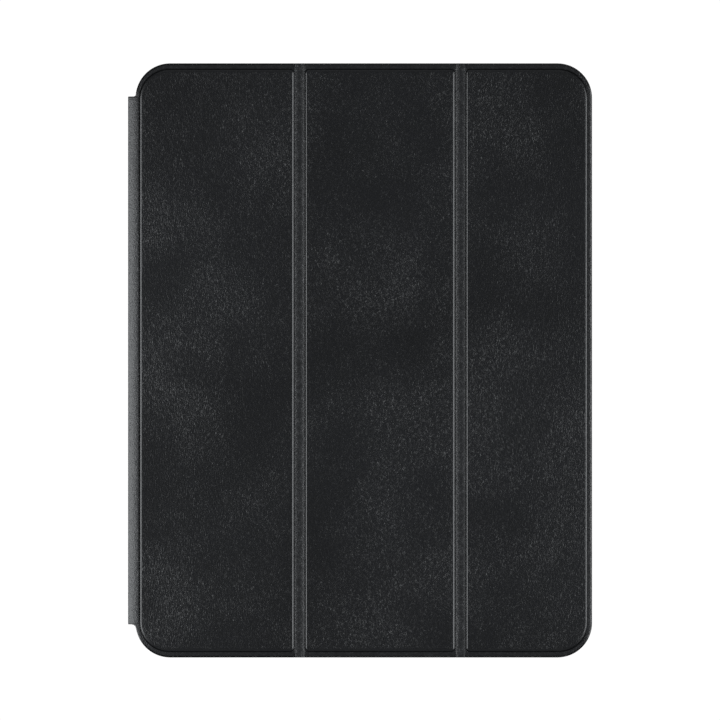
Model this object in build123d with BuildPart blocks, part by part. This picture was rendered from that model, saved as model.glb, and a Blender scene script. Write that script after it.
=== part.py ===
from build123d import *
import os

os.makedirs("parts", exist_ok=True)

# Folding leather case for a 13-inch-class tablet: a moulded tray wrapped in leather, and a cover of three
# stiff panels that closes over the screen and is joined to the tray by a soft spine.
# The closed case lies on its back. The origin is the centre of the back face, +Z goes out through the
# cover, +Y runs along the long side, and the spine is on the -X side. Millimetres.

# Tablet that the case holds
tablet_width = 214.9
tablet_length = 280.6
tablet_thickness = 6.4
tablet_corner_radius = 13.9

# Sheet goods and clearances
skin_thickness = 0.8
cover_leather_thickness = 0.7
lining_thickness = 0.4
glue_gap = 0.05
tablet_gap = 0.2
tablet_headroom = 0.1
cover_gap = 0.3
inlay_gap = 0.1

# Moulded tray
tray_floor = 1.4
tray_side_wall = 1.8
tray_end_wall = 2.2
lip_overhang = 0.4
lip_height = 0.5
back_edge_radius = 2.4

# Cut-outs in the tray
camera_window = 36.0
camera_window_radius = 9.0
camera_edge_distance = 7.0
port_width = 14.0
port_height = 5.0
speaker_slot_length = 5.0
speaker_slot_width = 1.8
speaker_slot_count = 5
speaker_slot_pitch = 7.0
speaker_side_distance = 51.3
microphone_radius = 0.8

# Press pads over the tablet's keys
key_width = 2.4
key_flange = 0.8
key_flange_thickness = 0.5
key_seat_depth = 0.9
key_running_gap = 0.2
key_stop_gap = 0.05
key_sink = 0.1
power_key_length = 11.0
power_key_side_distance = 26.3
volume_key_length = 12.0
volume_up_end_distance = 31.5
volume_key_pitch = 17.0

# Cover
cover_side_border = 2.4
cover_end_border = 2.9
groove_width = 5.5
panel_1_width = 74.0
panel_2_width = 72.2
board_thickness = 1.1
fold_split = 0.3
groove_corner_radius = 1.8
raised_edge_radius = 0.7

# Magnets and steel inlaid in the boards
closing_magnet_length = 14.0
closing_magnet_width = 4.0
closing_magnet_count = 8
closing_magnet_end_inset = 32.0
board_rim = 2.5
sleep_magnet_radius = 3.0
sleep_magnet_inset = 22.0
sleep_magnet_end_distance = 47.5
stand_plate_end_inset = 36.0
stand_plate_width = 7.0
inlay_thickness = 1.0

# Spine
spine_stand_off = 3.7
spine_end_run = 0.75
spine_stiffener_thickness = 0.8
spine_flap_thickness = 0.7
spine_roll_radius = 3.0
spine_lower_gap = 0.35
spine_upper_drop = 0.3
spine_to_cover = 0.55

# Derived plan sizes
pocket_width = tablet_width + 2 * tablet_gap
pocket_length = tablet_length + 2 * tablet_gap
pocket_radius = tablet_corner_radius + tablet_gap
tray_width = pocket_width + 2 * tray_side_wall
tray_length = pocket_length + 2 * tray_end_wall
tray_radius = pocket_radius + tray_side_wall
wrap = glue_gap + skin_thickness
case_width = tray_width + 2 * wrap
case_length = tray_length + 2 * wrap
case_radius = tray_radius + wrap

# Derived heights
tray_bottom = wrap
floor_top = tray_bottom + tray_floor
bed_height = floor_top + glue_gap + lining_thickness
lip_bottom = bed_height + tablet_thickness + tablet_headroom
rim_height = lip_bottom + lip_height
edge_height = bed_height + tablet_thickness / 2
cover_bottom = rim_height + cover_gap
board_bottom = cover_bottom + lining_thickness + glue_gap
groove_height = board_bottom + cover_leather_thickness
raised_height = board_bottom + board_thickness + glue_gap + cover_leather_thickness

# Outlines that cut through the tray, its skin and its lining
through = 4 * back_edge_radius + rim_height
camera_x = case_width / 2 - camera_edge_distance - camera_window / 2
camera_y = case_length / 2 - camera_edge_distance - camera_window / 2
speaker_group_x = case_width / 2 - speaker_side_distance
power_key_x = case_width / 2 - power_key_side_distance
volume_up_y = case_length / 2 - volume_up_end_distance

with BuildSketch(Plane.XY.offset(-through / 2)) as camera_outline:
    with Locations((camera_x, camera_y)):
        RectangleRounded(camera_window, camera_window, camera_window_radius)

with BuildSketch(Plane.XZ) as port_outline:
    with Locations((0, edge_height)):
        SlotOverall(port_width, port_height)

with BuildSketch(Plane.XZ) as speaker_outline:
    with Locations((-speaker_group_x, edge_height), (speaker_group_x, edge_height)):
        with GridLocations(speaker_slot_pitch, 1, speaker_slot_count, 1):
            SlotOverall(speaker_slot_length, speaker_slot_width)

with BuildSketch(Plane.XZ) as microphone_outline:
    with Locations((0, edge_height)):
        Circle(microphone_radius)

# Planes on the pocket's inner walls, facing outwards, at the height of the tablet's keys
side_wall_plane = Plane(origin=(pocket_width / 2, 0, edge_height), x_dir=(0, 1, 0), z_dir=(1, 0, 0))
top_wall_plane = Plane(origin=(0, pocket_length / 2, edge_height), x_dir=(-1, 0, 0), z_dir=(0, 1, 0))
side_depth = (case_width - pocket_width) / 2
top_depth = (case_length - pocket_length) / 2
keys = {
    "power_button": (top_wall_plane, -power_key_x, power_key_length, top_depth),
    "volume_up_button": (side_wall_plane, volume_up_y, volume_key_length, side_depth),
    "volume_down_button": (side_wall_plane, volume_up_y - volume_key_pitch, volume_key_length, side_depth),
}

# Back shell: hard moulded tray. Its lip snaps over the tablet's edge all round.
with BuildPart() as back_shell:
    with BuildSketch(Plane.XY.offset(tray_bottom)):
        RectangleRounded(tray_width, tray_length, tray_radius)
    extrude(amount=rim_height - tray_bottom)
    fillet(back_shell.edges().group_by(Axis.Z)[0], back_edge_radius - wrap)
    with BuildSketch(Plane.XY.offset(floor_top)):
        RectangleRounded(pocket_width, pocket_length, pocket_radius)
    extrude(amount=lip_bottom - floor_top, mode=Mode.SUBTRACT)
    with BuildSketch(Plane.XY.offset(lip_bottom)):
        RectangleRounded(
            pocket_width - 2 * lip_overhang,
            pocket_length - 2 * lip_overhang,
            pocket_radius - lip_overhang,
        )
    extrude(amount=lip_height, mode=Mode.SUBTRACT)
    extrude(camera_outline.sketch, amount=through, mode=Mode.SUBTRACT)
    extrude(port_outline.sketch, amount=case_length, mode=Mode.SUBTRACT)
    extrude(speaker_outline.sketch, amount=case_length, both=True, mode=Mode.SUBTRACT)
    extrude(microphone_outline.sketch, amount=-case_length, mode=Mode.SUBTRACT)
    for wall, along, length, depth in keys.values():
        with BuildSketch(wall):
            with Locations((along, 0)):
                RectangleRounded(
                    length + 2 * key_running_gap, key_width + 2 * key_running_gap, key_width / 2
                )
        extrude(amount=depth, mode=Mode.SUBTRACT)
        with BuildSketch(wall):
            with Locations((along, 0)):
                RectangleRounded(
                    length + 2 * (key_flange + key_running_gap),
                    key_width + 2 * (key_flange + key_running_gap),
                    key_width / 2,
                )
        extrude(amount=key_seat_depth, mode=Mode.SUBTRACT)
back_shell.part.label = "back_shell"
export_step(back_shell.part, "parts/back_shell.step")

# Back leather: one skin pressed over the tray's back and sides, with a flap that runs out under the spine
spine_length = case_length - 2 * (case_radius - spine_end_run)
spine_outer_x = -case_width / 2 - spine_stand_off
flap_root_x = -pocket_width / 2

with BuildPart() as back_leather:
    with BuildSketch():
        RectangleRounded(case_width, case_length, case_radius)
    extrude(amount=rim_height)
    fillet(back_leather.edges().group_by(Axis.Z)[0], back_edge_radius)
    offset(amount=-skin_thickness, openings=back_leather.faces().sort_by(Axis.Z)[-1])
    with BuildSketch():
        with Locations(((spine_outer_x + flap_root_x) / 2, 0)):
            Rectangle(flap_root_x - spine_outer_x, spine_length)
    extrude(amount=spine_flap_thickness)
    extrude(camera_outline.sketch, amount=through, mode=Mode.SUBTRACT)
    extrude(port_outline.sketch, amount=case_length, mode=Mode.SUBTRACT)
    extrude(speaker_outline.sketch, amount=case_length, both=True, mode=Mode.SUBTRACT)
    extrude(microphone_outline.sketch, amount=-case_length, mode=Mode.SUBTRACT)
    for wall, along, length, depth in keys.values():
        with BuildSketch(wall):
            with Locations((along, 0)):
                RectangleRounded(
                    length + 2 * key_running_gap, key_width + 2 * key_running_gap, key_width / 2
                )
        extrude(amount=depth, mode=Mode.SUBTRACT)
back_leather.part.label = "back_leather"
export_step(back_leather.part, "parts/back_leather.step")

# Shell lining: soft sheet glued on the tray's floor, with the camera window cut in it
with BuildPart() as shell_lining:
    with BuildSketch(Plane.XY.offset(floor_top + glue_gap)):
        RectangleRounded(
            pocket_width - 2 * tablet_gap, pocket_length - 2 * tablet_gap, pocket_radius - tablet_gap
        )
    extrude(amount=lining_thickness)
    extrude(camera_outline.sketch, amount=through, mode=Mode.SUBTRACT)
shell_lining.part.label = "shell_lining"
export_step(shell_lining.part, "parts/shell_lining.step")

# Press pads: a stem through the wall, kept in by a flange in its seat, with a rounded outer face
for key_name, (wall, along, length, depth) in keys.items():
    flange_top = key_seat_depth - key_stop_gap
    flange_bottom = flange_top - key_flange_thickness
    with BuildPart() as key:
        with BuildSketch(wall.offset(flange_bottom)):
            with Locations((along, 0)):
                RectangleRounded(
                    length + 2 * key_flange, key_width + 2 * key_flange, key_width / 2
                )
        extrude(amount=key_flange_thickness)
        with BuildSketch(wall.offset(flange_top)):
            with Locations((along, 0)):
                RectangleRounded(length, key_width, key_width / 2 - key_running_gap)
        extrude(amount=depth - key_sink - flange_top)
    key.part.label = key_name
    export_step(key.part, f"parts/{key_name}.step")


# Outline of a panel's layer: a rectangle whose two ends across X have their own corner radii
def panel_outline(x_low, x_high, length, radius_low, radius_high, height):
    with BuildSketch(Plane.XY.offset(height)) as outline:
        with Locations(((x_low + x_high) / 2, 0)):
            Rectangle(x_high - x_low, length)
        if radius_low:
            fillet(outline.vertices().group_by(Axis.X)[0], radius_low)
        if radius_high:
            fillet(outline.vertices().group_by(Axis.X)[-1], radius_high)
    return outline.sketch


# Raised areas of the three panels along X, and the fold lines in the middle of the grooves
panel_1_low = -case_width / 2 + cover_side_border
panel_1_high = panel_1_low + panel_1_width
panel_2_low = panel_1_high + groove_width
panel_2_high = panel_2_low + panel_2_width
panel_3_low = panel_2_high + groove_width
panel_3_high = case_width / 2 - cover_side_border
fold_1_x = (panel_1_high + panel_2_low) / 2
fold_2_x = (panel_2_high + panel_3_low) / 2
raised_length = case_length - 2 * cover_end_border
raised_radius = case_radius - cover_side_border

# Each panel: its sheet's ends, its raised area's ends, and the corner radii of both at each end
half_split = fold_split / 2
panels = {
    "panel_1": (
        (-case_width / 2, fold_1_x - half_split, case_radius, 0),
        (panel_1_low, panel_1_high, raised_radius, groove_corner_radius),
    ),
    "panel_2": (
        (fold_1_x + half_split, fold_2_x - half_split, 0, 0),
        (panel_2_low, panel_2_high, groove_corner_radius, groove_corner_radius),
    ),
    "panel_3": (
        (fold_2_x + half_split, case_width / 2, 0, case_radius),
        (panel_3_low, panel_3_high, groove_corner_radius, raised_radius),
    ),
}

# Inlays in the boards: closing magnets along the free edge, a sleep magnet, and a steel plate by the spine
magnet_x = panel_3_high - cover_leather_thickness - glue_gap - board_rim - closing_magnet_width / 2
closing_magnet_pitch = (raised_length - 2 * closing_magnet_end_inset) / (closing_magnet_count - 1)
sleep_magnet_x = panel_3_high - sleep_magnet_inset
sleep_magnet_y = case_length / 2 - sleep_magnet_end_distance
stand_plate_x = panel_1_low + cover_leather_thickness + glue_gap + board_rim + stand_plate_width / 2
stand_plate_length = raised_length - 2 * stand_plate_end_inset

with BuildPart() as closing_magnets:
    with BuildSketch(Plane.XY.offset(board_bottom)):
        with Locations((magnet_x, 0)):
            with GridLocations(1, closing_magnet_pitch, 1, closing_magnet_count):
                Rectangle(closing_magnet_width, closing_magnet_length)
    extrude(amount=inlay_thickness)
closing_magnets.part.label = "closing_magnets"
export_step(closing_magnets.part, "parts/closing_magnets.step")

with BuildPart() as sleep_magnet:
    with BuildSketch(Plane.XY.offset(board_bottom)):
        with Locations((sleep_magnet_x, sleep_magnet_y)):
            Circle(sleep_magnet_radius)
    extrude(amount=inlay_thickness)
sleep_magnet.part.label = "sleep_magnet"
export_step(sleep_magnet.part, "parts/sleep_magnet.step")

with BuildPart() as stand_plate:
    with BuildSketch(Plane.XY.offset(board_bottom)):
        with Locations((stand_plate_x, 0)):
            RectangleRounded(stand_plate_width, stand_plate_length, stand_plate_width / 4)
    extrude(amount=inlay_thickness)
stand_plate.part.label = "stand_plate"
export_step(stand_plate.part, "parts/stand_plate.step")

# Seats for the inlays, cut right through the boards
with BuildSketch(Plane.XY.offset(board_bottom)) as inlay_seats:
    with Locations((magnet_x, 0)):
        with GridLocations(1, closing_magnet_pitch, 1, closing_magnet_count):
            Rectangle(closing_magnet_width + 2 * inlay_gap, closing_magnet_length + 2 * inlay_gap)
    with Locations((sleep_magnet_x, sleep_magnet_y)):
        Circle(sleep_magnet_radius + inlay_gap)
    with Locations((stand_plate_x, 0)):
        RectangleRounded(
            stand_plate_width + 2 * inlay_gap,
            stand_plate_length + 2 * inlay_gap,
            stand_plate_width / 4 + inlay_gap,
        )

# Cover panels, from the inside out: lining, stiff board, and leather drawn down round the board's edges
leather_inset = cover_leather_thickness + glue_gap
for panel_name, (sheet, raised) in panels.items():
    sheet_low, sheet_high, sheet_radius_low, sheet_radius_high = sheet
    low, high, radius_low, radius_high = raised
    board_low = low + cover_leather_thickness
    board_high = high - cover_leather_thickness

    with BuildPart() as panel_lining:
        extrude(
            panel_outline(
                sheet_low, sheet_high, case_length, sheet_radius_low, sheet_radius_high, cover_bottom
            ),
            amount=lining_thickness,
        )
    panel_lining.part.label = f"{panel_name}_lining"
    export_step(panel_lining.part, f"parts/{panel_name}_lining.step")

    with BuildPart() as panel_board:
        extrude(
            panel_outline(
                low + leather_inset,
                high - leather_inset,
                raised_length - 2 * leather_inset,
                radius_low - leather_inset,
                radius_high - leather_inset,
                board_bottom,
            ),
            amount=board_thickness,
        )
        extrude(inlay_seats.sketch, amount=board_thickness, mode=Mode.SUBTRACT)
    panel_board.part.label = f"{panel_name}_board"
    export_step(panel_board.part, f"parts/{panel_name}_board.step")

    with BuildPart() as panel_leather:
        extrude(
            panel_outline(low, high, raised_length, radius_low, radius_high, board_bottom),
            amount=raised_height - board_bottom,
        )
        fillet(panel_leather.edges().group_by(Axis.Z)[-1], raised_edge_radius)
        extrude(
            panel_outline(
                sheet_low, sheet_high, case_length, sheet_radius_low, sheet_radius_high, board_bottom
            ),
            amount=cover_leather_thickness,
        )
        extrude(
            panel_outline(
                board_low,
                board_high,
                raised_length - 2 * cover_leather_thickness,
                radius_low - cover_leather_thickness,
                radius_high - cover_leather_thickness,
                board_bottom,
            ),
            amount=board_thickness + glue_gap,
            mode=Mode.SUBTRACT,
        )
    panel_leather.part.label = f"{panel_name}_leather"
    export_step(panel_leather.part, f"parts/{panel_name}_leather.step")

# Spine: a stiff strip between lining and leather, standing off the tray's side. The leather rolls over
# the top towards the cover. Its section is an angle, drawn once and stepped inwards for the lining.
spine_bottom = spine_flap_thickness + spine_lower_gap
spine_top = groove_height - spine_upper_drop
spine_reach_x = -case_width / 2 - spine_to_cover
stiffener_x = spine_outer_x + cover_leather_thickness + glue_gap
spine_lining_x = stiffener_x + spine_stiffener_thickness + glue_gap
spine_lining_top = spine_top - cover_leather_thickness - glue_gap
spine_lining_radius = spine_roll_radius - (spine_lining_x - spine_outer_x)


# Angle section: a wall up from the bottom, a rounded corner, and a run towards the cover
def spine_angle(outer_x, top, thickness, outer_radius):
    inner_x = outer_x + thickness
    under = top - thickness
    with BuildSketch(Plane.XZ) as angle:
        with BuildLine():
            outer = FilletPolyline(
                (outer_x, spine_bottom), (outer_x, top), (spine_reach_x, top), radius=outer_radius
            )
            inner = FilletPolyline(
                (inner_x, spine_bottom),
                (inner_x, under),
                (spine_reach_x, under),
                radius=outer_radius - thickness,
            )
            Line(outer @ 0, inner @ 0)
            Line(outer @ 1, inner @ 1)
        make_face()
    return angle.sketch


with BuildPart() as spine_leather:
    extrude(
        spine_angle(spine_outer_x, spine_top, cover_leather_thickness, spine_roll_radius),
        amount=spine_length / 2,
        both=True,
    )
spine_leather.part.label = "spine_leather"
export_step(spine_leather.part, "parts/spine_leather.step")

stiffener_top = spine_top - spine_roll_radius
with BuildPart() as spine_stiffener:
    with BuildSketch(Plane.XY.offset(spine_bottom)):
        with Locations((stiffener_x + spine_stiffener_thickness / 2, 0)):
            Rectangle(spine_stiffener_thickness, spine_length - 2 * cover_leather_thickness)
    extrude(amount=stiffener_top - spine_bottom)
spine_stiffener.part.label = "spine_stiffener"
export_step(spine_stiffener.part, "parts/spine_stiffener.step")

with BuildPart() as spine_lining:
    extrude(
        spine_angle(spine_lining_x, spine_lining_top, lining_thickness, spine_lining_radius),
        amount=spine_length / 2,
        both=True,
    )
spine_lining.part.label = "spine_lining"
export_step(spine_lining.part, "parts/spine_lining.step")

print(f"case {case_width:.2f} x {case_length:.2f} mm, closed height {raised_height:.2f} mm")
print(f"bed {bed_height:.2f}, rim {rim_height:.2f}, groove floor {groove_height:.2f} mm")
print(f"fold lines at x {fold_1_x:.2f} and {fold_2_x:.2f}, spine outer face at x {spine_outer_x:.2f}")
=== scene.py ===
import math

import bmesh
import bpy
import numpy as np
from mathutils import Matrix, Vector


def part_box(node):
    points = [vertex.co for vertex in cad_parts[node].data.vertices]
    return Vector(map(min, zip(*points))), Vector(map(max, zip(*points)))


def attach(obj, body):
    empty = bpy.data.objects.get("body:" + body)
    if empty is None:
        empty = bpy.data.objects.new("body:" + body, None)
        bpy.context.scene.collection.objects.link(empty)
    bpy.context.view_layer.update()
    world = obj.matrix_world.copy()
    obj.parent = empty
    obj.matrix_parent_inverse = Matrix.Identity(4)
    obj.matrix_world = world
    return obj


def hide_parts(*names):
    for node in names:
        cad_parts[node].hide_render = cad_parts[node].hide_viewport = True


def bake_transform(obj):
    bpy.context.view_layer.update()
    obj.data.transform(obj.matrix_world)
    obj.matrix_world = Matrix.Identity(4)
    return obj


# Folding leather tablet case, closed and lying on its back, seen from above the cover.
# The hard nodes keep their meshes. Every leather and microfibre node gets a formed skin of its own.
# Metres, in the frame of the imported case: +Z out through the cover, spine on the -X side.
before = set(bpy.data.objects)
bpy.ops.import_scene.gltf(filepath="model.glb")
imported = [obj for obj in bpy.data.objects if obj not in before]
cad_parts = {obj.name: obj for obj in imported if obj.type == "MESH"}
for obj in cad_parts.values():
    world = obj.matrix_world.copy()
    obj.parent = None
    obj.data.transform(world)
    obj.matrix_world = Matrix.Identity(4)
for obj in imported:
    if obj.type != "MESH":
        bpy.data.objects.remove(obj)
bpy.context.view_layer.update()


# ---- Hard pieces -----------------------------------------------------------------------------------
# The moulded tray, its press pads, the boards in the cover and spine, and the steel and magnets that
# sit in the boards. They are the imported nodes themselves, and only get their materials here.
def tree_of(material):
    """A material's node tree, emptied."""
    material.use_nodes = True
    material.node_tree.nodes.clear()
    return material.node_tree


def add(tree, kind, inputs=None, **settings):
    """A new node with its settings, its inputs set to values or linked to sockets."""
    n = tree.nodes.new(kind)
    for key, value in settings.items():
        setattr(n, key, value)
    for key, value in (inputs or {}).items():
        if isinstance(value, bpy.types.NodeSocket):
            tree.links.new(value, n.inputs[key])
        else:
            n.inputs[key].default_value = value
    return n


def maths(tree, operation, *values):
    """The output of a Math node."""
    return add(tree, "ShaderNodeMath", dict(enumerate(values)), operation=operation).outputs[0]


def spread(tree, value, a, b, c, d):
    """value carried from the range a to b over to the range c to d, and kept in it."""
    keys = {"Value": value, "From Min": a, "From Max": b, "To Min": c, "To Max": d}
    return add(tree, "ShaderNodeMapRange", keys, clamp=True).outputs[0]


def blended(tree, share, a, b):
    """Colour a at share 0 and colour b at share 1."""
    n = add(tree, "ShaderNodeMix", data_type="RGBA")
    for socket, value in (("Factor_Float", share), ("A_Color", a), ("B_Color", b)):
        s = next(i for i in n.inputs if i.identifier == socket)
        if isinstance(value, bpy.types.NodeSocket):
            tree.links.new(value, s)
        else:
            s.default_value = value
    return next(o for o in n.outputs if o.identifier == "Result_Color")


def noise(tree, place, scale, detail=2.0, roughness=0.5):
    """Noise with that many features a metre."""
    keys = {"Vector": place, "Scale": scale, "Detail": detail, "Roughness": roughness}
    return add(tree, "ShaderNodeTexNoise", keys).outputs["Fac"]

def principled(name, base, roughness, bump=None, **own):
    """A material, its tree, its shader and its bump node. own are numbers for the shader's sockets."""
    m = bpy.data.materials.new(name)
    t = tree_of(m)
    shader = add(t, "ShaderNodeBsdfPrincipled", {"Base Color": base, "Roughness": roughness})
    for key, value in own.items():
        shader.inputs[key.replace("_", " ")].default_value = value
    out = add(t, "ShaderNodeOutputMaterial")
    t.links.new(shader.outputs[0], out.inputs[0])
    relief = add(t, "ShaderNodeBump", {"Strength": 1.0, "Distance": bump or 0.00002})
    t.links.new(relief.outputs[0], shader.inputs["Normal"])
    return m, t, shader, relief

def hard(name, dark, pale, rough, scale, depth, stretch=(1, 1, 1), **own):
    """A hard material in object coordinates: two tones, a roughness range and a fine relief."""
    m, t, shader, relief = principled(name, dark, rough[0], depth, **own)
    place = add(t, "ShaderNodeTexCoord").outputs["Object"]
    laid = add(t, "ShaderNodeMapping", {"Vector": place, "Scale": stretch}).outputs[0]
    fine = noise(t, laid, scale, 3.0, 0.65)
    broad = noise(t, place, scale / 30, 2.0)
    share = maths(t, "ADD", maths(t, "MULTIPLY", fine, 0.6), maths(t, "MULTIPLY", broad, 0.4))
    t.links.new(blended(t, spread(t, share, 0.35, 0.65, 0.0, 1.0), dark, pale), shader.inputs["Base Color"])
    t.links.new(spread(t, fine, 0.3, 0.7, rough[0], rough[1]), shader.inputs["Roughness"])
    t.links.new(fine, relief.inputs["Height"])
    return m

tray_plastic = hard("tray_moulding", (0.022, 0.022, 0.024, 1), (0.032, 0.032, 0.034, 1),
                    (0.48, 0.62), 3600, 0.00003)
pad_plastic = hard("press_pad_moulding", (0.016, 0.016, 0.017, 1), (0.026, 0.026, 0.028, 1),
                   (0.34, 0.5), 2800, 0.00003)
grey_board = hard("grey_board", (0.26, 0.25, 0.23, 1), (0.38, 0.37, 0.34, 1),
                  (0.8, 0.95), 2200, 0.00005, (1, 0.35, 1))
brushed = hard("brushed_plate", (0.42, 0.42, 0.43, 1), (0.62, 0.62, 0.63, 1),
               (0.24, 0.42), 2600, 0.00001, (1, 0.02, 1), Metallic=1.0)
nickel = hard("nickel_plating", (0.56, 0.55, 0.53, 1), (0.68, 0.67, 0.65, 1),
              (0.12, 0.26), 1500, 0.000006, Metallic=1.0)
for node, material in {
    "back_shell": tray_plastic,
    "power_button": pad_plastic,
    "volume_up_button": pad_plastic,
    "volume_down_button": pad_plastic,
    "panel_1_board": grey_board,
    "panel_2_board": grey_board,
    "panel_3_board": grey_board,
    "spine_stiffener": grey_board,
    "stand_plate": brushed,
    "closing_magnets": nickel,
    "sleep_magnet": nickel,
}.items():
    bpy.data.objects[node].data.materials[0] = material


# ---- Back leather ----------------------------------------------------------------------------------
# One sheet drawn over the tray's back and walls and glued: rounded lower edge, turned over at the rim.
# The camera window is pressed through it, and the port, slots, microphone and key windows are cut.
MM = 0.001


def low(node, axis):
    """Lowest coordinate of a node's box along an axis, 0 to 2."""
    return float(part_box(node)[0][axis])


def high(node, axis):
    """Highest coordinate of a node's box along an axis, 0 to 2."""
    return float(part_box(node)[1][axis])


def new_group(name, ins, outs):
    """An empty shader group with these sockets, and its two end nodes."""
    g = bpy.data.node_groups.new(name, "ShaderNodeTree")
    for label, kind in ins:
        g.interface.new_socket(name=label, in_out="INPUT", socket_type=kind)
    for label, kind in outs:
        g.interface.new_socket(name=label, in_out="OUTPUT", socket_type=kind)
    return g, g.nodes.new("NodeGroupInput"), g.nodes.new("NodeGroupOutput")


def use(tree, group, inputs):
    """A group's node in a tree."""
    n = tree.nodes.new("ShaderNodeGroup")
    n.node_tree = group
    for key, value in inputs.items():
        if isinstance(value, bpy.types.NodeSocket):
            tree.links.new(value, n.inputs[key])
        else:
            n.inputs[key].default_value = value
    return n


# Leather grain: pebbles 0.6 mm wide and 1.4 mm long that lean a little off the case's long side,
# strong in some patches and pressed flat in others, over fine pores. Pressed areas have small round pebbles.
grain, g_in, g_out = new_group(
    "leather_grain",
    [("Place", "NodeSocketVector"), ("Press", "NodeSocketFloat")],
    [("Height", "NodeSocketFloat"), ("Light", "NodeSocketFloat"), ("Speck", "NodeSocketFloat")],
)
bend = add(grain, "ShaderNodeTexNoise", {"Vector": g_in.outputs[0], "Scale": 420.0, "Detail": 1.0})
bent = add(grain, "ShaderNodeVectorMath", {0: bend.outputs["Color"], 1: (0.5, 0.5, 0.5)},
           operation="SUBTRACT")
bent = add(grain, "ShaderNodeVectorMath", {0: bent.outputs[0], "Scale": 0.7 * MM}, operation="SCALE")
moved = add(grain, "ShaderNodeVectorMath", {0: g_in.outputs[0], 1: bent.outputs[0]}, operation="ADD")
turned = add(grain, "ShaderNodeMapping", {
    "Vector": moved.outputs[0], "Rotation": (0, 0, math.radians(-8)), "Scale": (1750, 520, 1100)})
cells = add(grain, "ShaderNodeTexVoronoi", {"Vector": turned.outputs[0], "Scale": 1.0}, feature="F1")
pebble = spread(grain, cells.outputs["Distance"], 0.05, 0.75, 1.0, 0.0)
streaks = spread(grain, noise(grain, turned.outputs[0], 1.1, 2.0, 0.6), 0.3, 0.7, 0.0, 1.0)
pebble = maths(grain, "ADD", maths(grain, "MULTIPLY", pebble, 0.5), maths(grain, "MULTIPLY", streaks, 0.5))
pores = noise(grain, g_in.outputs[0], 2600, 2.0, 0.6)
patch = spread(grain, noise(grain, g_in.outputs[0], 26, 2.0, 0.55), 0.34, 0.66, 0.55, 1.0)
loose = maths(grain, "SUBTRACT", 1.0, g_in.outputs[1])
patch_free = maths(grain, "MULTIPLY", patch, loose)
tight = add(grain, "ShaderNodeTexVoronoi", {"Vector": moved.outputs[0], "Scale": 1500.0}, feature="F1")
specks = spread(grain, tight.outputs["Distance"], 0.15, 0.62, 1.0, 0.2)
uneven = spread(grain, noise(grain, g_in.outputs[0], 420, 2.0, 0.6), 0.36, 0.62, 0.35, 1.0)
specks = maths(grain, "MULTIPLY", specks, uneven)
pressed = maths(grain, "MULTIPLY", specks, g_in.outputs[1])
height = maths(grain, "MULTIPLY", pebble, patch_free)
height = maths(grain, "ADD", height, maths(grain, "MULTIPLY", pores, 0.25))
height = maths(grain, "ADD", height, maths(grain, "MULTIPLY", pressed, 0.6))
grain.links.new(height, g_out.inputs[0])
# Light marks the pebble tops and Speck the pressed specks, where the leather paints its highlights.
grain.links.new(maths(grain, "MULTIPLY", maths(grain, "POWER", pebble, 2.0), patch_free), g_out.inputs[1])
grain.links.new(pressed, g_out.inputs[2])

def leather(name):
    """The coated sheet: near-black and satin, with painted highlights on pebble tops and pressed specks, and
    painted shade, near black, in creases and along the rim, which also has dark edge paint.
    """
    m, t, shader, relief = principled(name, (0.010, 0.010, 0.011, 1), 0.42, 0.00011,
                                      Specular_IOR_Level=0.45)
    place = add(t, "ShaderNodeAttribute", attribute_name="laid").outputs["Vector"]
    press = add(t, "ShaderNodeAttribute", attribute_name="press").outputs["Fac"]
    shade_and_edge_paint = add(t, "ShaderNodeAttribute", attribute_name="shade_and_edge_paint").outputs["Fac"]
    skin = use(t, grain, {"Place": place, "Press": press})
    cloudy = spread(t, noise(t, place, 11, 2.0), 0.35, 0.65, 0.0, 1.0)
    cool = blended(t, cloudy, (0.0025, 0.0027, 0.0032, 1), (0.0042, 0.0045, 0.0053, 1))
    # Painted highlight: the pebble tops are paler, as where light catches them.
    pebble_highlights = blended(t, maths(t, "MULTIPLY", skin.outputs["Light"], 0.5), cool, (0.0140, 0.0145, 0.0165, 1))
    # Painted highlight on the pressed specks.
    speck_highlights = blended(t, maths(t, "MULTIPLY", skin.outputs["Speck"], 0.9), pebble_highlights, (0.034, 0.0345, 0.0362, 1))
    # Painted shade in creases and along the rim, where the rim also has dark edge paint.
    dark = blended(t, shade_and_edge_paint, speck_highlights, (0.0022, 0.0022, 0.0023, 1))
    t.links.new(dark, shader.inputs["Base Color"])
    shine = spread(t, skin.outputs["Light"], 0.0, 1.0, 0.34, 0.30)
    shine = maths(t, "ADD", shine, maths(t, "MULTIPLY", press, 0.03))
    shine = maths(t, "SUBTRACT", shine, maths(t, "MULTIPLY", shade_and_edge_paint, 0.22))
    t.links.new(shine, shader.inputs["Roughness"])
    taut = add(t, "ShaderNodeAttribute", attribute_name="taut").outputs["Fac"]
    kept = maths(t, "SUBTRACT", 1.0, maths(t, "MAXIMUM", maths(t, "MULTIPLY", shade_and_edge_paint, 0.9), taut))
    t.links.new(maths(t, "MULTIPLY", skin.outputs["Height"], kept), relief.inputs["Height"])
    return m


case_leather = leather("case_leather_skin")


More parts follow.
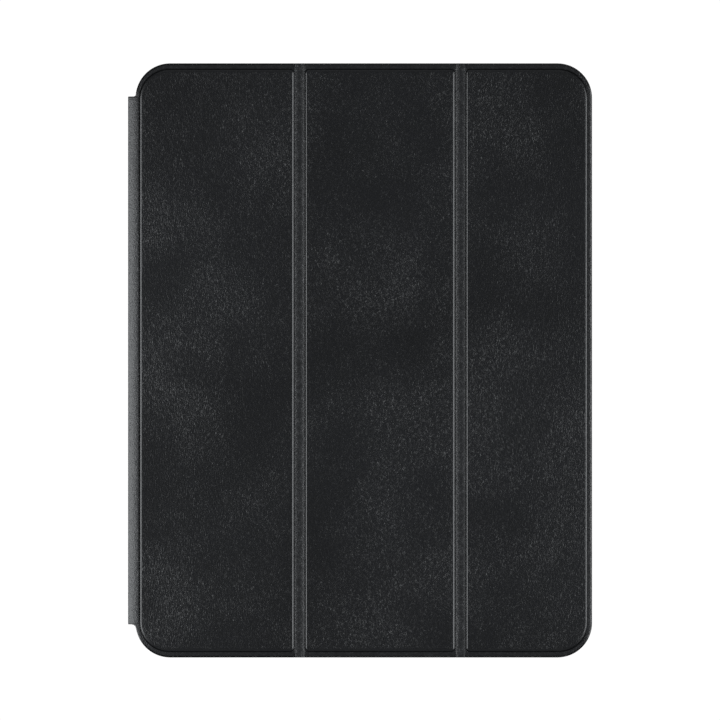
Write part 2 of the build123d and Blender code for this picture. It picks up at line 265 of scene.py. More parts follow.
def outline(x0, x1, y0, y1, r_left, r_right, turns, n_long=150, n_short=44):
    """A rectangle with rounded corners, anticlockwise from the middle of its lower side.

    Points run half the lower side, the lower right corner, the right side, the upper right corner,
    the upper side, the upper left corner, the left side, the lower left corner and the last half side.
    turns are the angles of a corner's points from its upright side. Matching points of two outlines
    have the same index, and point i lies opposite point -i.
    """
    t = np.asarray(turns)[:, None]

    def line(a, b, n):
        return np.array(a) + (np.array(b) - np.array(a)) * np.linspace(0, 1, n)[1:-1, None]

    def arc(x, y, r, up, right):
        return np.array([x, y]) + r * np.hstack([right * np.cos(t), up * np.sin(t)])

    xm = (x0 + x1) / 2
    lower_right = arc(x1 - r_right, y0 + r_right, r_right, -1, 1)[::-1]
    upper_right = arc(x1 - r_right, y1 - r_right, r_right, 1, 1)
    upper_left = arc(x0 + r_left, y1 - r_left, r_left, 1, -1)[::-1]
    lower_left = arc(x0 + r_left, y0 + r_left, r_left, -1, -1)
    half = n_short // 2
    return np.vstack([
        [[xm, y0]], line([xm, y0], lower_right[0], half),
        lower_right, line(lower_right[-1], upper_right[0], n_long),
        upper_right, line(upper_right[-1], [xm, y1], half),
        [[xm, y1]], line([xm, y1], upper_left[0], half),
        upper_left, line(upper_left[-1], lower_left[0], n_long),
        lower_left, line(lower_left[-1], [xm, y0], half),
    ])


def piece(name, points, faces, material, attributes=(), laid=None):
    """A mesh object from points and faces, its doubles merged, smooth, with its rest place stored."""
    mesh = bpy.data.meshes.new(name)
    mesh.from_pydata(points.tolist(), [], faces.tolist())
    for key, values in dict(attributes).items():
        mesh.attributes.new(key, "FLOAT", "POINT").data.foreach_set("value", np.ravel(values))
    place = points if laid is None else laid
    mesh.attributes.new("laid", "FLOAT_VECTOR", "POINT").data.foreach_set("vector", np.ravel(place))
    b = bmesh.new()
    b.from_mesh(mesh)
    bmesh.ops.remove_doubles(b, verts=b.verts, dist=2e-6)
    bmesh.ops.dissolve_degenerate(b, edges=b.edges, dist=1e-7)
    bmesh.ops.recalc_face_normals(b, faces=b.faces)
    b.to_mesh(mesh)
    b.free()
    mesh.shade_smooth()
    mesh.materials.append(material)
    o = bpy.data.objects.new(name, mesh)
    bpy.context.scene.collection.objects.link(o)
    return o


def rings_to_faces(k, n, closed):
    """Quads between k rings of n points each, and back from the last ring to the first if closed."""
    i, j = np.meshgrid(np.arange(k if closed else k - 1), np.arange(n), indexing="ij")
    a, b = i * n + j, i * n + (j + 1) % n
    c, d = ((i + 1) % k) * n + (j + 1) % n, ((i + 1) % k) * n + j
    return np.stack([a, b, c, d], -1).reshape(-1, 4)


def at(xy, z):
    """Points of an outline lifted to z, a number or one for each point."""
    return np.column_stack([xy, np.broadcast_to(z, len(xy))])


def grown(x0, x1, y0, y1, r, by, turns, **counts):
    """An outline with equal corners, moved inwards by that much."""
    return outline(x0 + by, x1 - by, y0 + by, y1 - by, max(r - by, 0.2 * MM), max(r - by, 0.2 * MM),
                   turns, **counts)


EVEN = np.linspace(0, math.pi / 2, 15)  # angles of a plain corner's points
COVER_W = high("panel_3_lining", 0)  # half the cover's width
COVER_L = high("panel_1_lining", 1)  # half its length
CORNER = 16.75 * MM  # corner radius of the cover and of the tray's skin
BACK_EDGE = 2.4 * MM  # radius of the lower edge
RIM_Z = high("back_leather", 2)
SKIN = 0.75 * MM
turned_r = 0.35 * MM  # height of the turned rim's round
window_r = 0.5 * MM  # round of the camera window's pressed edge


def window(by):
    """Outline of the camera window, moved inwards by that much."""
    x, y, half, r = 85.3 * MM, 118.55 * MM, 18 * MM, 9 * MM
    return grown(x - half, x + half, y - half, y + half, r, by, EVEN)


def body(by):
    """Outline of the tray with its skin on, moved inwards by that much."""
    return grown(-COVER_W, COVER_W, -COVER_L, COVER_L, CORNER, by, EVEN)


rings = []
for a in np.linspace(0, math.pi / 2, 5):
    rings.append(at(window(-window_r * (1 - math.cos(a))), window_r * (1 - math.sin(a))))
lips, foot = window(-window_r), body(BACK_EDGE)
for s in np.linspace(0, 1, 22)[1:-1]:
    rings.append(at(lips + (foot - lips) * s, 0.0))
for a in np.linspace(0, math.pi / 2, 9):  # lower edge
    rings.append(at(body(BACK_EDGE * (1 - math.sin(a))), BACK_EDGE * (1 - math.cos(a))))
for z in np.linspace(BACK_EDGE, RIM_Z - turned_r, 8)[1:]:
    rings.append(at(body(0), z))
for a in np.linspace(0, math.pi, 9)[1:]:  # the turned rim
    rings.append(at(body(SKIN / 2 * (1 - math.cos(a))), RIM_Z - turned_r + turned_r * math.sin(a)))
for z in np.linspace(RIM_Z - turned_r, BACK_EDGE, 5)[1:]:  # the inner face
    rings.append(at(body(SKIN), z))
for a in np.linspace(math.pi / 2, 0, 6)[1:]:
    r = BACK_EDGE - SKIN
    rings.append(at(body(SKIN + r * (1 - math.sin(a))), SKIN + r * (1 - math.cos(a))))
for s in np.linspace(1, 0, 12)[1:-1]:
    rings.append(at(window(0) + (body(BACK_EDGE) - window(0)) * s, SKIN))
rings.append(at(window(0), SKIN))
points = np.vstack(rings)
back_skin = piece("back_skin", points, rings_to_faces(len(rings), len(lips), True), case_leather)


def slot_cutter(x, y, z, long_side, short_side, along, depth=4 * MM):
    """A bar with round ends through an end wall (along 0) or a side wall (along 1)."""
    t = np.linspace(0, 2 * math.pi, 24, endpoint=False)
    r = short_side / 2
    u = np.sign(np.cos(t)) * max(long_side / 2 - r, 0) + r * np.cos(t)
    v = r * np.sin(t)
    sides = []
    for d in (-depth, depth):
        p = [x + u, y + d + 0 * u, z + v] if along == 0 else [x + d + 0 * u, y + u, z + v]
        sides.append(np.column_stack(p))
    n = len(t)
    walls = [[i, (i + 1) % n, n + (i + 1) % n, n + i] for i in range(n)]
    return np.vstack(sides), walls + [list(range(n))[::-1], list(range(n, 2 * n))]


hole_z = 5.9 * MM  # middle height of the port, the microphone and the speaker slots
speaker_x, slot_step = 59 * MM, 7 * MM
cuts = [
    slot_cutter(0, -COVER_L, hole_z, 14 * MM, 5 * MM, 0),  # the port
    slot_cutter(0, COVER_L, hole_z, 1.6 * MM, 1.6 * MM, 0),  # the microphone
]
for end in (-COVER_L, COVER_L):
    for middle_x in (-speaker_x, speaker_x):
        for i in range(-2, 3):
            cuts.append(slot_cutter(middle_x + i * slot_step, end, hole_z, 5 * MM, 1.8 * MM, 0))
for key, along in (("power_button", 0), ("volume_up_button", 1), ("volume_down_button", 1)):
    a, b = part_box(key)
    mid = [(a[i] + b[i]) / 2 for i in range(3)]
    wall = (mid[0], COVER_L) if along == 0 else (COVER_W, mid[1])
    face = b[along] - a[along] - 1.6 * MM  # the pad's face, without the flange behind the wall
    cuts.append(slot_cutter(*wall, mid[2], face + 0.4 * MM, 2.8 * MM, along))
verts, faces = [], []
for p, f in cuts:
    faces += [[i + len(verts) for i in face] for face in f]
    verts += p.tolist()
cutter_mesh = bpy.data.meshes.new("cutter")
cutter_mesh.from_pydata(verts, [], faces)
b = bmesh.new()
b.from_mesh(cutter_mesh)
bmesh.ops.recalc_face_normals(b, faces=b.faces)
b.to_mesh(cutter_mesh)
b.free()
cutter = bpy.data.objects.new("cutter", cutter_mesh)
bpy.context.scene.collection.objects.link(cutter)
cut = back_skin.modifiers.new("cut", "BOOLEAN")
cut.object, cut.operation, cut.solver, cut.use_self = cutter, "DIFFERENCE", "EXACT", True
bpy.context.view_layer.update()
solid = bpy.data.meshes.new_from_object(back_skin.evaluated_get(bpy.context.evaluated_depsgraph_get()))
back_skin.modifiers.clear()
back_skin.data = solid
bpy.data.objects.remove(cutter)
bpy.data.meshes.remove(cutter_mesh)
solid.materials.clear()
solid.materials.append(case_leather)
co = np.zeros(len(solid.vertices) * 3)
solid.vertices.foreach_get("co", co)
solid.attributes["laid"].data.foreach_set("vector", co)
solid.set_sharp_from_angle(angle=math.radians(40))
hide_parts("back_leather")
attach(back_skin, "shell")


# ---- Tray lining -----------------------------------------------------------------------------------
# A die-cut sheet of microfibre glued to the tray's floor, with the same camera window.
a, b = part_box("shell_lining")
def microfibre(name, base, tip):
    """Brushed microfibre: soft strokes a few millimetres across, over a nap of 0.15 mm fibres."""
    m, t, shader, relief = principled(name, base, 0.92, 0.00009, Specular_IOR_Level=0.25,
                                      Sheen_Weight=0.35, Sheen_Roughness=0.45)
    place = add(t, "ShaderNodeAttribute", attribute_name="laid").outputs["Vector"]
    nap = noise(t, place, 6500, 3.0, 0.7)
    along = add(t, "ShaderNodeMapping", {"Vector": place, "Rotation": (0, 0, 0.5), "Scale": (1, 3.2, 1)})
    strokes = noise(t, along.outputs[0], 120, 3.0, 0.6)
    share = maths(t, "ADD", maths(t, "MULTIPLY", nap, 0.55), maths(t, "MULTIPLY", strokes, 0.45))
    t.links.new(blended(t, spread(t, share, 0.38, 0.62, 0.0, 1.0), base, tip), shader.inputs["Base Color"])
    t.links.new(spread(t, strokes, 0.3, 0.7, 0.86, 0.98), shader.inputs["Roughness"])
    t.links.new(share, relief.inputs["Height"])
    return m


cloth = microfibre("grey_microfibre", (0.040, 0.041, 0.045, 1), (0.075, 0.077, 0.083, 1))
floor_r = 13.9 * MM  # corner radius of the tray's floor
ease = 0.12 * MM  # how far the cut edges are rounded off
edge, eased = [grown(a[0], b[0], a[1], b[1], floor_r, by, EVEN) for by in (0.0, ease)]
hole, eased_hole = window(-0.2 * MM), window(-0.2 * MM - ease)
rings = [at(hole, a[2]), at(hole, b[2] - ease), at(eased_hole, b[2])]
rings += [at(eased_hole + (eased - eased_hole) * s, b[2]) for s in np.linspace(0, 1, 22)[1:-1]]
rings += [at(eased, b[2]), at(edge, b[2] - ease), at(edge, a[2])]
rings += [at(hole + (edge - hole) * s, a[2]) for s in np.linspace(1, 0, 8)[1:-1]]
points = np.vstack(rings)
tray_lining = piece("tray_lining", points, rings_to_faces(len(rings), len(rings[0]), True), cloth)
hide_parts("shell_lining")
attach(tray_lining, "shell")


# ---- Panel skins -----------------------------------------------------------------------------------
# The cover leather over each board: a thin pressed border, a narrow crease, a rounded raised edge and a
# flat top. The underside is recessed for the board. The border ends at a seam in each groove.
LEATHER = 0.7 * MM  # cover leather, a coated sheet with a woven back
FIT = 0.75 * MM  # leather and glue between a board's edge and its raised edge
LEATHER_Z = low("panel_1_leather", 2)
BORDER_Z = LEATHER_Z + LEATHER + 0.25 * MM  # the pressed border, leather over a binding tape
RAISED_Z = high("panel_1_leather", 2)
SPINE_X = low("spine_leather", 0)
SPINE_L = high("spine_leather", 1)
ROLL = 5.5 * MM  # width of the spine's roll
CREASE_X = low("panel_1_board", 0) - FIT - 0.45 * MM  # where the roll meets panel 1
SEAMS = 0.70 * MM, 0.25 * MM  # a groove's strip starts this far past its left raised edge, and its right
STEP = math.asin((SPINE_L + 0.05 * MM - (COVER_L - CORNER)) / CORNER)
TURNS = np.concatenate([[0, STEP - math.radians(0.25)], STEP + np.radians([0, 0.3, 0.9, 1.8, 3.0, 4.6, 6.6]),
                        np.linspace(STEP + math.radians(9), math.pi / 2, 15)])
FILLETS = {1: 1.1 * MM, -1: 2.1 * MM}  # concave fillets where the spine meets the upper, lower corner
SQUARE = 3 * MM  # a corner radius under this is at a groove, where the border ends square


def roll(x):
    """Height of the spine's outer face at x: a tight quarter round on the outside, then a gentle slope."""
    rise = 3.9 * MM
    s = np.clip((x - SPINE_X) / ROLL, 0, 1)
    tight = np.sqrt(1 - (1 - np.clip(s / 0.07, 0, 1)) ** 2)
    return BORDER_Z - 0.03 * MM - rise * (1 - 0.67 * tight - 0.33 * (1 - (1 - s) ** 1.6))


def shoulder(q, run, rise, power):
    """Drop of a raised edge at share q of its run: a 21 degree bevel, and a turn down to the foot."""
    bevel = math.tan(math.radians(21)) * run
    return bevel * q + (rise - bevel) * q**power


def span_of(a, b):
    """Distance between matching points of two outlines."""
    return np.linalg.norm(a - b, axis=1)


def panel_skin(name, board, rims, feet, slopes, radii):
    """The leather over one board.

    rims are the border's left and right ends, and radii the corner radii there. feet and slopes move
    the foot and the top of the raised edge inwards, on the left and right. The rings run from the middle
    of the top out over the raised edge and the border, round the rim, and back along the underside.
    """
    (bx0, by0, _), (bx1, by1, _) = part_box(board)
    x0, x1, y0, y1 = bx0 - FIT + feet[0], bx1 + FIT - feet[1], by0 - FIT, by1 + FIT
    foot = outline(x0, x1, y0, y1, *radii, TURNS)
    inner = [r - 1.0 * MM if r > SQUARE else r * 0.5 for r in radii]
    top = outline(bx0 - FIT + slopes[0], bx1 + FIT - slopes[1], y0 + 1.0 * MM, y1 - 1.0 * MM, *inner, TURNS)
    under = outline(bx0 - 0.03 * MM, bx1 + 0.03 * MM, by0 - 0.03 * MM, by1 + 0.03 * MM,
                    *[max(r - FIT, 0.5 * MM) for r in radii], TURNS)
    corners = [CORNER if r > SQUARE else 0.3 * MM for r in radii]
    outer = outline(*rims, -COVER_L, COVER_L, *corners, TURNS)
    free = np.ones(len(outer))  # 1 at the case's own edge, 0 where the sheet runs on
    x, y = outer.T
    for rim, radius in zip(rims, radii):
        if radius < SQUARE:
            free[(np.abs(x - rim) < 0.1 * MM) & (np.abs(y) < COVER_L - 0.3 * MM)] = 0
    rim_z = BORDER_Z - 0.22 * MM * (span_of(outer, foot) > 1.2 * MM) * free
    meets_spine = name.startswith("panel_1")
    if meets_spine:
        inside = (x < 0.8 * rims[0]) & (np.abs(y) < SPINE_L)
        x[inside & (x < CREASE_X)] = CREASE_X
        for sign, r in FILLETS.items():
            d = SPINE_L + 0.05 * MM + r - sign * y
            near = (x < 0.9 * rims[0]) & (d >= 0) & (d <= r) & ~inside
            fillet = rims[0] - r + np.sqrt(np.maximum(r * r - d[near] ** 2, 0)) + 0.2 * MM
            x[near] = np.minimum(x[near], fillet)
        free[inside & (np.abs(x - CREASE_X) < 0.1 * MM)] = 0
        rim_z = np.where(inside, BORDER_Z - 0.32 * MM, np.minimum(rim_z, roll(x)))
        outer = np.column_stack([x, y])
    count = len(outer)
    mirror = (-np.arange(count)) % count
    middle = np.column_stack([np.full(count, (x0 + x1) / 2), (foot[:, 1] + foot[mirror, 1]) / 2])
    middle[:, 1] = np.clip(middle[:, 1], y0 + (x1 - x0) * 0.4, y1 - (x1 - x0) * 0.4)
    span = span_of(outer, foot)
    inward = (foot - outer) / np.maximum(span, 1e-6)[:, None]
    rings, press, shade_and_edge_paint, taut = [], [], [], []

    def ring(xy, z, pressed, dark, pulled=0.0):
        rings.append(at(xy, z))
        press.append(np.broadcast_to(pressed, count))
        shade_and_edge_paint.append(np.broadcast_to(dark, count))
        taut.append(np.full(count, pulled))

    # The flat top, and the raised edge down to the crease at its foot.
    for s in np.append(np.linspace(1, 0, 16)[:-1] ** 1.3, (0.02, 0.004)):
        ring(top + (middle - top) * s, RAISED_Z, 0.0, 0.0, 0.8 * (s < 0.01))
    run = span_of(top, foot)
    soft = np.clip((foot[:, 0] - x1 + 2 * MM) / MM, 0, 1)  # 1 along the right side, whose foot is rounder
    crevice = 0.09 * MM * (1 - soft)
    for q in 1 - (1 - np.linspace(0, 1, 21)) ** 1.3:
        z = RAISED_Z - shoulder(q, run, RAISED_Z - BORDER_Z + crevice, 7 - 4 * soft)
        # Painted shade darkens the crease at the raised edge's foot, less along the right side.
        dark = 0.9 * max(0.0, (q - 0.85) / 0.15) * (1 - soft)
        ring(top + (foot - top) * q, z, 0.35 * q, dark, 0.8 - 0.8 * max(0.0, (q - 0.7) / 0.3))
    # The border, which falls a little towards its rim, and the rim's upper and lower rounds.
    for s in (0.02, 0.05, 0.09, 0.14, 0.2, 0.35, 0.5, 0.6, 0.68, 0.75, 0.81, 0.87):
        out = s * span
        near = np.exp(-((out / (0.22 * MM)) ** 2)) * (span > 0.3 * MM) + (1 - s) * (span <= 0.3 * MM)
        fall = s if meets_spine else s * s
        z = np.minimum(BORDER_Z - crevice * near, BORDER_Z + (rim_z - BORDER_Z) * fall)
        # rim darkens the border near the case's edge: dark edge paint with painted shade.
        rim = free * np.clip(1.6 * np.exp(-(((span - out) / (0.62 * MM)) ** 2)), 0, 1)
        # line is painted shade along the raised edge's foot.
        line = 0.9 * (1 - soft) * np.exp(-((out / (0.3 * MM)) ** 2))
        ring(foot + (outer - foot) * s, z, 0.4, np.maximum(line, rim))
    # The rim's rounds are darkened where free is 1: dark edge paint with painted shade.
    r = 0.25 * MM * free
    for a in np.linspace(0, math.pi / 2, 6):
        ring(outer + inward * (r * (1 - math.sin(a)))[:, None], rim_z - r * (1 - math.cos(a)), 1.0, free)
    floor_z = rim_z - LEATHER
    r = 0.15 * MM * free
    for a in np.linspace(math.pi / 2, 0, 4):
        ring(outer + inward * (r * (1 - math.sin(a)))[:, None], floor_z + r * (1 - math.cos(a)), 1.0, free)
    # The underside, and the recess that holds the board.
    for s in (0.4, 0.8):
        ring(outer + (foot - outer) * s, floor_z + (LEATHER_Z - floor_z) * s, 1.0, 0.0)
    for s in (0.0, 0.5, 1.0):
        ring(foot + (under - foot) * s, LEATHER_Z, 1.0, 0.0)
    for z in (LEATHER_Z + 0.5 * MM, RAISED_Z - LEATHER - 0.02 * MM):
        ring(under, z, 1.0, 0.0)
    for s in np.linspace(0, 1, 8)[1:]:
        ring(under + (middle - under) * s, RAISED_Z - LEATHER - 0.02 * MM, 1.0, 0.0)
    marks = {"press": np.concatenate(press), "shade_and_edge_paint": np.concatenate(shade_and_edge_paint), "taut": np.concatenate(taut)}
    return piece(name, np.vstack(rings), rings_to_faces(len(rings), count, False), case_leather, marks)


EDGE_R, GROOVE_R = 14.35 * MM, 1.8 * MM  # corner radii of the raised areas, outside and at a groove
grooves = []  # the left and right end of each groove's strip
for a, b in (("panel_1_board", "panel_2_board"), ("panel_2_board", "panel_3_board")):
    grooves.append((high(a, 0) + FIT + SEAMS[0], low(b, 0) - FIT - SEAMS[1]))
panels = {  # rims and corner radii
    "panel_1": ((-COVER_W, grooves[0][0]), (EDGE_R, GROOVE_R)),
    "panel_2": ((grooves[0][1], grooves[1][0]), (GROOVE_R, GROOVE_R)),
    "panel_3": ((grooves[1][1], COVER_W), (GROOVE_R, EDGE_R)),
}
pulls = {  # how far the sheet is drawn in at the foot and at the top of the raised edge, left and right
    "panel_1": ((-0.35 * MM, -0.55 * MM), (0.50 * MM, 0.72 * MM)),
    "panel_2": ((0.15 * MM, -0.62 * MM), (0.80 * MM, 0.68 * MM)),
    "panel_3": ((0.15 * MM, -0.50 * MM), (0.85 * MM, 0.72 * MM)),
}
for panel, (rims, radii) in panels.items():
    o = panel_skin(panel + "_skin", panel + "_board", rims, *pulls[panel], radii)
    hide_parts(panel + "_leather")
    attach(o, panel)


# ---- Panel linings ---------------------------------------------------------------------------------
# Microfibre glued under each board and trimmed half a millimetre inside the leather's edge.
INSET = 0.5 * MM
LINING_Z = low("panel_1_lining", 2)


def flat_sheet(name, edge, z0, z1, material):
    """A thin closed sheet inside an outline, its edges eased by a tenth of a millimetre."""
    ease = 0.1 * MM
    count = len(edge)
    mirror = (-np.arange(count)) % count
    mid = np.column_stack([np.full(count, edge[:, 0].mean()), (edge[:, 1] + edge[mirror, 1]) / 2])
    reach = (edge[:, 0].max() - edge[:, 0].min()) * 0.4
    mid[:, 1] = np.clip(mid[:, 1], edge[:, 1].min() + reach, edge[:, 1].max() - reach)
    toward = (mid - edge) / np.maximum(np.linalg.norm(mid - edge, axis=1), 1e-6)[:, None]
    eased = edge + toward * ease
    rings = [at(edge + (mid - edge) * s, z1) for s in np.linspace(1, 0, 12)[:-1]]
    rings += [at(eased, z1), at(edge, z1 - ease), at(edge, z0 + ease), at(eased, z0)]
    rings += [at(edge + (mid - edge) * s, z0) for s in np.linspace(0, 1, 12)[1:]]
    return piece(name, np.vstack(rings), rings_to_faces(len(rings), count, False), material)


for panel, (rims, radii) in panels.items():
    left = rims[0] + (INSET if radii[0] > SQUARE else 0)
    right = rims[1] - (INSET if radii[1] > SQUARE else 0)
    corners = [CORNER - INSET if r > SQUARE else 0.3 * MM for r in radii]
    edge = outline(left, right, -COVER_L + INSET, COVER_L - INSET, *corners, EVEN)
    o = flat_sheet(panel + "_cloth", edge, LINING_Z, high(panel + "_lining", 2), cloth)
    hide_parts(panel + "_lining")
    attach(o, panel)


# ---- Groove strips ---------------------------------------------------------------------------------
# Between two panels the leather and lining are pressed together into a soft channel with no board.
# Each strip runs from one panel to the next. Its floor is slightly hollow and runs out to the rim.
def strip(name, profile, inside, ys, drop, material, press=None, shade_and_edge_paint=None, laid=None):
    """A closed strip: an outer and an inner profile (x, z) swept along y and let down by drop at the ends.

    drop is one height for each y, taken off the outer face and put on the inner one.
    """
    n, m = len(profile), len(ys)
    outer = np.stack([np.column_stack([profile[:, 0], np.full(n, y), profile[:, 1]]) for y in ys])
    inner = np.stack([np.column_stack([inside[:, 0], np.full(n, y), inside[:, 1]]) for y in ys])
    away = outer - inner
    away /= np.maximum(np.linalg.norm(away, axis=2), 1e-9)[..., None]
    outer -= away * drop[:, None, None]
    inner += away * 0.6 * drop[:, None, None]
    loop = np.concatenate([outer, inner[:, ::-1]], axis=1)
    points = loop.reshape(-1, 3)
    faces = rings_to_faces(m, 2 * n, False).tolist()
    for k, flip in ((0, 1), (m - 1, -1)):
        for i in range(n - 1):
            q = [k * 2 * n + i, k * 2 * n + i + 1, k * 2 * n + 2 * n - 2 - i, k * 2 * n + 2 * n - 1 - i]
            faces.append(q[::flip])

    def both(values):
        return np.tile(np.concatenate([values, values[::-1]]), m)

    extra = {"press": both(np.ones(n) if press is None else press),
             "shade_and_edge_paint": both(np.zeros(n) if shade_and_edge_paint is None else shade_and_edge_paint)}
    place = points
    if laid is not None:
        place = points.copy()
        place[:, 0] = both(laid)
        place[:, 2] = 0
    return piece(name, points, np.array(faces), material, extra, place)


def ends(half, edge_r=0.3 * MM, step=2.0 * MM):
    """Positions along y from -half to half with rounded ends, and how far each lets the face down."""
    a = np.linspace(0, math.pi / 2, 5)
    tip, let = half - edge_r + edge_r * np.sin(a), edge_r * (1 - np.cos(a))
    between = np.linspace(-half + edge_r, half - edge_r, int(2 * half / step))[1:-1]
    ys = np.concatenate([-tip[::-1], between, tip])
    return ys, np.concatenate([let[::-1], 0 * between, let])


for i, (x0, x1) in enumerate(grooves):
    a, b = f"panel_{i + 1}", f"panel_{i + 2}"
    x = x0 + (x1 - x0) * (1 - np.cos(np.linspace(0, math.pi, 29))) / 2
    u = (x - x0) / (x1 - x0) * 2 - 1
    hollow = 0.28 * MM * (1 - u**2)
    # Painted shade in a line at the strip's right end, at the foot of the next panel's raised edge.
    groove_shade = np.exp(-(((x1 - x + SEAMS[1]) / (0.3 * MM)) ** 2))
    profile = np.column_stack([x, BORDER_Z - hollow])
    inside = np.column_stack([x, np.full(len(x), LEATHER_Z)])
    ys, let = ends(COVER_L)
    o = strip(f"fold_{i + 1}_skin", profile, inside, ys, let, case_leather, shade_and_edge_paint=0.9 * groove_shade)
    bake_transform(o)
    profile = np.column_stack([x, np.full(len(x), LINING_Z)])
    inside = np.column_stack([x, np.full(len(x), high(a + "_lining", 2))])
    ys, let = ends(COVER_L - INSET, 0.1 * MM)
    o = strip(f"fold_{i + 1}_cloth", profile, inside, ys, let, cloth)
    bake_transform(o)


# ---- Spine -----------------------------------------------------------------------------------------
# The cover's leather rolls over the spine's top edge, runs down the stiffener and turns under the tray.
# The upper skin runs from the spine to panel 1, the lower one from the tray to the spine.
def inward_of(profile, by):
    """A profile moved to its left-hand side by that much, along its own normals."""
    d = np.gradient(profile, axis=0)
    d /= np.linalg.norm(d, axis=1)[:, None]
    return profile + np.column_stack([d[:, 1], -d[:, 0]]) * np.reshape(by, (-1, 1))


def lengths(profile):
    """Length along a profile from its start to each of its points."""
    return np.concatenate([[0], np.cumsum(np.linalg.norm(np.diff(profile, axis=0), axis=1))])


JOIN_Z = 3.6 * MM  # height of the seam between the upper and the lower skin
s = np.linspace(0, math.pi / 2, 25)
wall = np.column_stack([np.full(6, SPINE_X), np.linspace(JOIN_Z, roll(SPINE_X), 7)[:-1]])
over_x = SPINE_X + ROLL * (1 - np.cos(s))
over = np.column_stack([over_x, roll(over_x)])
to_crease = CREASE_X - over[-1, 0]
last = np.column_stack([over[-1, 0] + to_crease * np.array([0.3, 0.55, 0.75, 0.9, 1.0]),
                        over[-1, 1] - 0.30 * MM * np.array([0.02, 0.1, 0.35, 0.7, 1.0])])
profile = np.vstack([wall, over, last])
ys, let = ends(SPINE_L, 0.3 * MM)
far = lengths(profile)
# Painted shade where the roll meets panel 1, fading over half a millimetre.
shade_and_edge_paint = np.exp(-(((far[-1] - far) / (0.5 * MM)) ** 2))
bend_x = SPINE_X + LEATHER  # the inner face is held square in the tight corner
inside = inward_of(profile, LEATHER)
tight_part = profile[:, 0] < bend_x
inside[tight_part] = np.column_stack([np.full(tight_part.sum(), bend_x),
                                      np.minimum(profile[tight_part, 1], roll(bend_x) - 1.03 * LEATHER)])
laid = CREASE_X - (far[-1] - far)
spine_skin = strip("spine_skin", profile, inside, ys, let, case_leather, shade_and_edge_paint=shade_and_edge_paint, laid=laid)
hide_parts("spine_leather")
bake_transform(spine_skin)

turn = 1.5 * MM  # outer radius of the flap's turn
flap_x = -COVER_W + BACK_EDGE  # where the flap leaves the tray
a = np.linspace(0, math.pi / 2, 13)
profile = np.vstack([
    np.column_stack([np.linspace(flap_x - 0.05 * MM, SPINE_X + turn, 16)[:-1], np.zeros(15)]),
    np.column_stack([SPINE_X + turn * (1 - np.sin(a)), turn * (1 - np.cos(a))]),
    np.column_stack([np.full(4, SPINE_X), np.linspace(turn, JOIN_Z, 5)[1:]]),
])
gap = np.clip(flap_x - profile[:, 0], 0, BACK_EDGE)
under_edge = BACK_EDGE - np.sqrt(BACK_EDGE**2 - gap**2) - 0.03 * MM
thick = np.where(profile[:, 1] > 0.01 * MM, LEATHER, np.clip(under_edge, 0.03 * MM, LEATHER))
far = lengths(profile)
flap_skin = strip("flap_skin", profile, inward_of(profile, thick), ys, let, case_leather, laid=flap_x - far)
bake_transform(flap_skin)

cloth_x = low("spine_lining", 0) + 0.4 * MM
foot_z = low("spine_lining", 2) + 0.15 * MM
r = 1.5 * MM  # round at the top
turn_z = high("spine_lining", 2) - 0.5 * MM - r
a = np.linspace(0, math.pi / 2, 11)
profile = np.vstack([
    np.column_stack([np.full(11, cloth_x), np.linspace(foot_z, turn_z, 12)[:-1]]),
    np.column_stack([cloth_x + r * (1 - np.cos(a)), turn_z + r * np.sin(a)]),
])
ys, let = ends(SPINE_L - INSET, 0.1 * MM)
spine_cloth = strip("spine_cloth", profile, inward_of(profile, -0.38 * MM), ys, let, cloth)
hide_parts("spine_lining")
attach(spine_cloth, "spine")


# ---- Stage, light and camera -----------------------------------------------------------------------
# Two large soft lights stand at 45 degrees on the left and right, weak ones at the far and near ends, and
# one low on the left. The white floor can be seen through from beneath. The camera looks straight down.
def area_light(name, place, size, power):
    """A soft rectangular light that faces the case, turned about one of its sides only."""
    lamp = bpy.data.lights.new(name, "AREA")
    lamp.color = (0.95, 0.98, 1.0)
    lamp.shape, lamp.size, lamp.size_y, lamp.energy = "RECTANGLE", size[0], size[1], power
    o = bpy.data.objects.new(name, lamp)
    bpy.context.scene.collection.objects.link(o)
    o.location = place
    x, y, z = place
    o.rotation_euler = (-math.atan2(y, z), 0, 0) if x == 0 else (0, math.atan2(x, z), 0)


area_light("left_light", (-0.62, -0.10, 0.58), (0.42, 0.60), 6.7)
area_light("right_light", (0.76, -0.06, 0.71), (0.52, 0.74), 8.6)
area_light("far_light", (0, 0.62, 0.58), (0.60, 0.42), 0.4)
area_light("near_light", (0, -0.62, 0.58), (0.60, 0.42), 0.3)
area_light("low_light", (-0.48, -0.10, -0.27), (0.50, 0.50), 4.0)

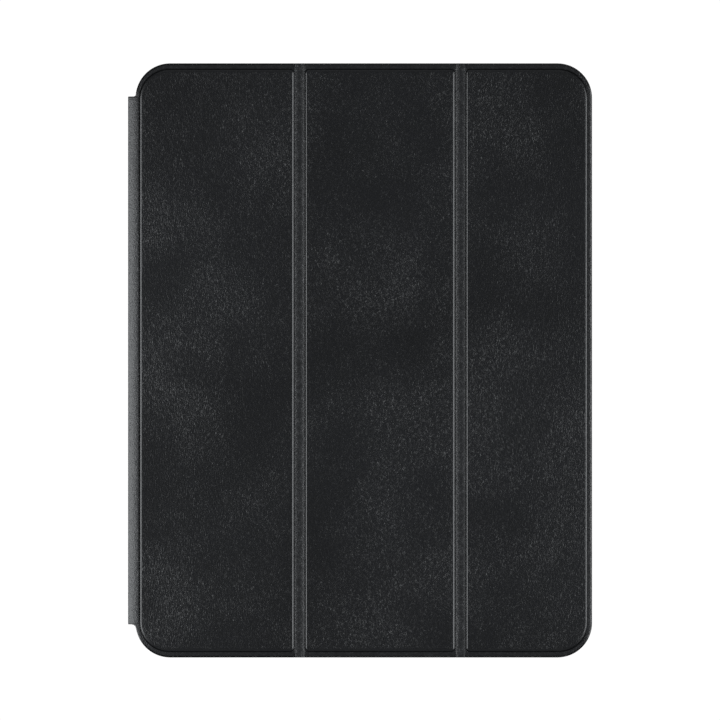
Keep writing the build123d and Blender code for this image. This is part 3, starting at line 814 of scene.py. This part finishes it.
table = bpy.data.meshes.new("table")
reach, floor_z = 4, -0.30  # it lies under the cover when that hangs open
corners = [(x, y, floor_z) for x, y in ((-reach, -reach), (reach, -reach), (reach, reach), (-reach, reach))]
table.from_pydata(corners, [], [(0, 1, 2, 3)])
white = bpy.data.materials.new("white_table")
t = tree_of(white)
lit = add(t, "ShaderNodeEmission", {"Color": (1, 1, 1, 1), "Strength": 1.05})
paper = add(t, "ShaderNodeBsdfPrincipled", {"Base Color": (0.16, 0.16, 0.16, 1), "Roughness": 0.9})
path = add(t, "ShaderNodeLightPath")
seen = path.outputs["Is Camera Ray"]
above = add(t, "ShaderNodeMixShader", {0: seen, 1: paper.outputs[0], 2: lit.outputs[0]})
beneath = add(t, "ShaderNodeNewGeometry").outputs["Backfacing"]
clear = add(t, "ShaderNodeBsdfTransparent")
whole = add(t, "ShaderNodeMixShader", {0: beneath, 1: above.outputs[0], 2: clear.outputs[0]})
t.links.new(whole.outputs[0], add(t, "ShaderNodeOutputMaterial").inputs[0])
table.materials.append(white)
table_object = bpy.data.objects.new("table", table)
bpy.context.scene.collection.objects.link(table_object)

world = bpy.data.worlds.new("studio")
bpy.context.scene.world = world
world.use_nodes = True
t = world.node_tree
t.nodes.clear()
seen = add(t, "ShaderNodeLightPath").outputs["Is Camera Ray"]
bright = add(t, "ShaderNodeBackground", {"Color": (1, 1, 1, 1), "Strength": 1.05})
dim = add(t, "ShaderNodeBackground", {"Color": (0.9, 0.95, 1.0, 1), "Strength": 0.06})
whole = add(t, "ShaderNodeMixShader", {0: seen, 1: dim.outputs[0], 2: bright.outputs[0]})
t.links.new(whole.outputs[0], add(t, "ShaderNodeOutputWorld").inputs[0])

bpy.context.scene.view_settings.view_transform = "Standard"
lens = bpy.data.cameras.new("camera")
lens.lens, lens.sensor_width, lens.clip_start, lens.clip_end = 600, 36, 0.01, 30
eye = bpy.data.objects.new("camera", lens)
bpy.context.scene.collection.objects.link(eye)
frame_width = 0.3478  # what the picture takes in, across
eye.location = (-0.00184, 0.0002, RAISED_Z + frame_width * lens.lens / lens.sensor_width)
bpy.context.scene.camera = eye

bpy.context.view_layer.update()
